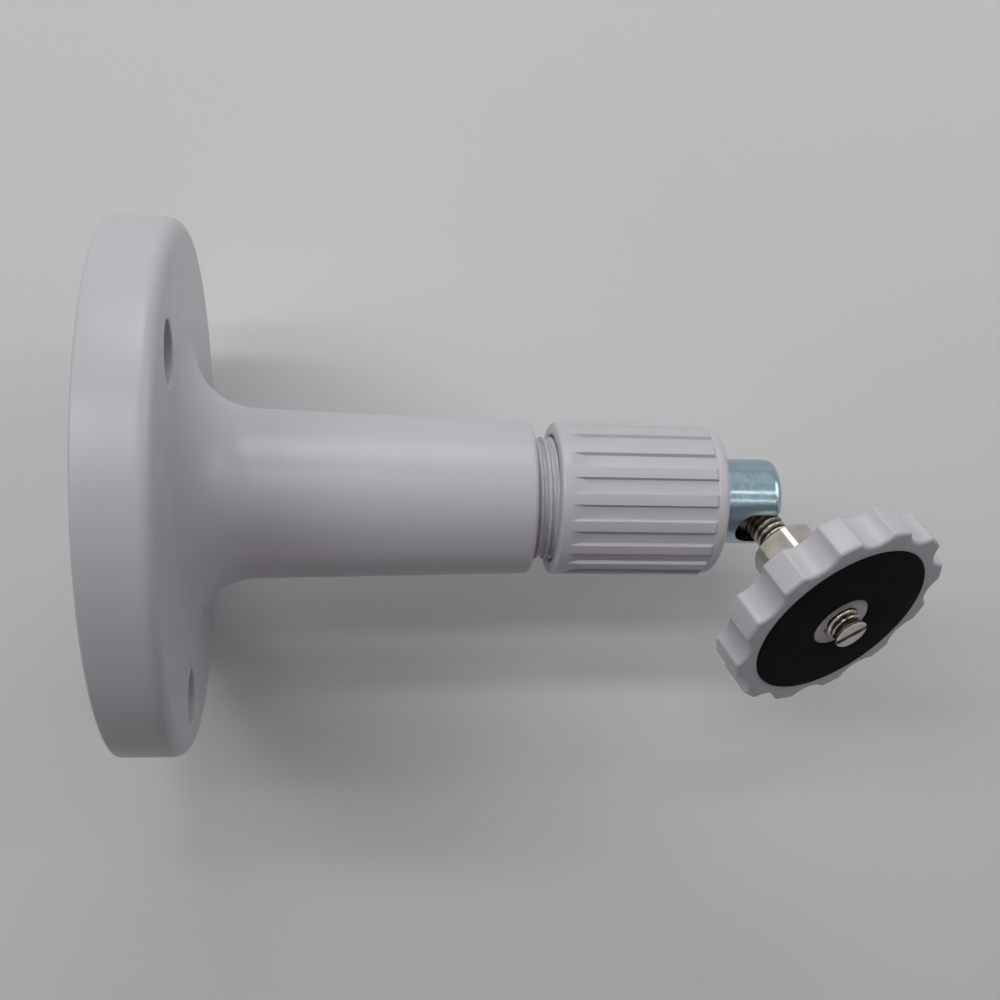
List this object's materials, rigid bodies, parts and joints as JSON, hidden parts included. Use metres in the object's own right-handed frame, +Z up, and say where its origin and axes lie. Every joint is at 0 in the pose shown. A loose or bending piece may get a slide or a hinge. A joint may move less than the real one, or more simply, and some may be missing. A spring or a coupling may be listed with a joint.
{
  "type": "camera wall bracket with ball joint",
  "caption": "White plastic wall bracket for a small camera: round wall plate, tapered arm, ribbed clamp collar, slotted steel ball socket and scalloped lock wheel on a tripod stud.",
  "frame": {"origin": "centre of the wall plate's back face, on the arm's axis, in the plane that lies on the wall", "axes": "+X along the arm, away from the wall; +Z up, the side that the stud leans to with +X; +Y sideways, completing a right-handed frame"},
  "size_m": [0.1461, 0.095, 0.095],
  "materials": {
    "white_plastic": "satin",
    "zinc_steel": "fine turned, zinc plated",
    "nickel_steel": "bright, nickel plated",
    "dark_steel": "blackened, smooth",
    "nylon": "matt",
    "black_rubber": "matt"
  },
  "bodies": {
    "base": {"wall_base": "white_plastic", "pressure_pin": "nylon"},
    "collar": {"clamp_collar": "white_plastic"},
    "socket": {"socket_sleeve": "zinc_steel"},
    "ball": {"joint_ball": "dark_steel"},
    "stud": {"threaded_stud": "nickel_steel"},
    "nut": {"jam_nut": "nickel_steel"},
    "wheel": {"lock_wheel": "white_plastic", "grip_pad": "black_rubber"}
  },
  "joints": [
    {"name": "collar_turn", "type": "hinge", "parent": "base", "child": "collar", "pos_m": [0.09295, 0, 0], "axis": [1, 0, 0], "range_deg": [0, 360]},
    {"name": "socket_swivel", "type": "hinge", "parent": "base", "child": "socket", "pos_m": [0.1154, 0, 0], "axis": [1, 0, 0], "continuous": true},
    {"name": "ball_tilt", "type": "hinge", "parent": "socket", "child": "ball", "pos_m": [0.1154, 0, 0], "axis": [0, -0.7083, -0.7059], "range_deg": [-79.4, 20.6]},
    {"name": "stud_spin", "type": "hinge", "parent": "ball", "child": "stud", "pos_m": [0.1154, 0, 0], "axis": [0.3518, -0.6607, 0.663], "continuous": true},
    {"name": "nut_turn", "type": "hinge", "parent": "stud", "child": "nut", "pos_m": [0.12073, -0.01001, 0.01005], "axis": [0.3518, -0.6607, 0.663], "range_deg": [-360, 360]},
    {"name": "wheel_turn", "type": "hinge", "parent": "stud", "child": "wheel", "pos_m": [0.12525, -0.0185, 0.01857], "axis": [0.3518, -0.6607, 0.663], "range_deg": [-720, 720]}
  ]
}
